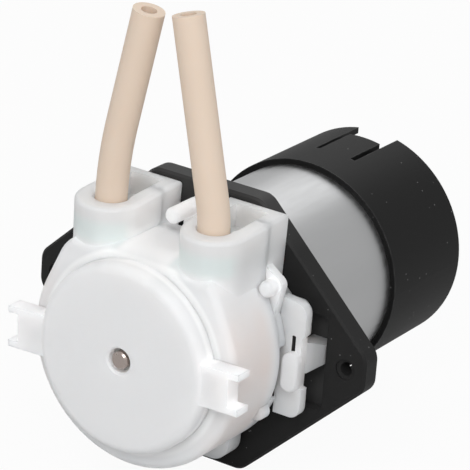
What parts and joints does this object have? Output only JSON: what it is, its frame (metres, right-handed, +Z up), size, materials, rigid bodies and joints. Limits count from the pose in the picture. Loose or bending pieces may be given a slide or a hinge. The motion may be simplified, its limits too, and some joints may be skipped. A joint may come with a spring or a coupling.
{
  "type": "peristaltic pump head",
  "caption": "Small clip-on peristaltic pump: white round tubing head with upright soft tube ends on a black two-hole mounting plate, driven by a motor behind it.",
  "frame": {"origin": "on the pump axis at the mounting plate's rear face, midway between its two holes", "axes": "+X to the right seen from the front, +Y back along the pump axis into the motor, +Z up along the tube ports"},
  "size_m": [0.0496, 0.0602, 0.062],
  "materials": {
    "white_plastic": "milky, slightly translucent satin polypropylene",
    "black_plastic": "fine matt moulded surface",
    "can_steel": "satin zinc-plated steel",
    "ferrite": "dull sintered ferrite",
    "bronze": "sintered bronze",
    "end_bell_plastic": "matt glass-filled nylon",
    "brass": "bright tin-brass",
    "carbon": "dull carbon",
    "screw_steel": "bright zinc-plated",
    "pump_tube": "smooth matt beige elastomer",
    "clamp_plastic": "pale blue-green plastic",
    "shaft_steel": "ground steel",
    "core_steel": "stacked electrical steel",
    "copper": "enamelled copper",
    "rotor_plastic": "white acetal",
    "roller_plastic": "ivory nylon"
  },
  "bodies": {
    "root": {"mounting_plate": "black_plastic", "motor_can": "can_steel", "motor_magnets": "ferrite", "motor_front_bush": "bronze", "motor_rear_bush": "bronze", "motor_end_bell": "end_bell_plastic", "motor_terminals": "brass", "motor_brushes": "carbon", "motor_screws": "screw_steel", "motor_sleeve": "black_plastic", "front_shell": "white_plastic", "rear_shell": "white_plastic", "front_cover": "white_plastic", "pump_tube": "pump_tube", "tube_clamp_left": "clamp_plastic", "tube_clamp_right": "clamp_plastic"},
    "drive_shaft": {"motor_shaft": "shaft_steel", "armature": "core_steel", "armature_windings": "copper", "commutator": "copper"},
    "rotor": {"rotor_front_plate": "rotor_plastic", "rotor_rear_plate": "rotor_plastic", "roller_axle_1": "shaft_steel", "roller_axle_2": "shaft_steel", "roller_axle_3": "shaft_steel"},
    "roller_1": {"roller_1": "roller_plastic"},
    "roller_2": {"roller_2": "roller_plastic"},
    "roller_3": {"roller_3": "roller_plastic"},
    "latch_left": {"latch_left": "white_plastic"},
    "latch_right": {"latch_right": "white_plastic"}
  },
  "joints": [
    {"name": "shaft_spin", "type": "hinge", "parent": "root", "child": "drive_shaft", "pos_m": [0, 0, 0], "axis": [0, 1, 0], "continuous": true},
    {"name": "rotor_spin", "type": "hinge", "parent": "root", "child": "rotor", "pos_m": [0, -0.0122, 0], "axis": [0, 1, 0], "continuous": true},
    {"name": "roller_1_spin", "type": "hinge", "parent": "rotor", "child": "roller_1", "pos_m": [0, -0.01215, 0.00637], "axis": [0, 1, 0], "continuous": true},
    {"name": "roller_2_spin", "type": "hinge", "parent": "rotor", "child": "roller_2", "pos_m": [-0.00552, -0.01215, -0.00319], "axis": [0, 1, 0], "continuous": true},
    {"name": "roller_3_spin", "type": "hinge", "parent": "rotor", "child": "roller_3", "pos_m": [0.00552, -0.01215, -0.00319], "axis": [0, 1, 0], "continuous": true},
    {"name": "latch_left_press", "type": "hinge", "parent": "root", "child": "latch_left", "pos_m": [-0.0153, -0.0045, 0.0064], "axis": [0, -1, 0], "range_deg": [0, 10], "stiffness_Nm_per_rad": 0.12},
    {"name": "latch_right_press", "type": "hinge", "parent": "root", "child": "latch_right", "pos_m": [0.0153, -0.0045, 0.0064], "axis": [0, 1, 0], "range_deg": [0, 10], "stiffness_Nm_per_rad": 0.12}
  ],
  "couplings": [
    {"joint": "rotor_spin", "follows": "shaft_spin", "ratio": 0.090196},
    {"joint": "roller_1_spin", "follows": "shaft_spin", "ratio": -0.20024},
    {"joint": "roller_2_spin", "follows": "shaft_spin", "ratio": -0.20024},
    {"joint": "roller_3_spin", "follows": "shaft_spin", "ratio": -0.20024}
  ]
}
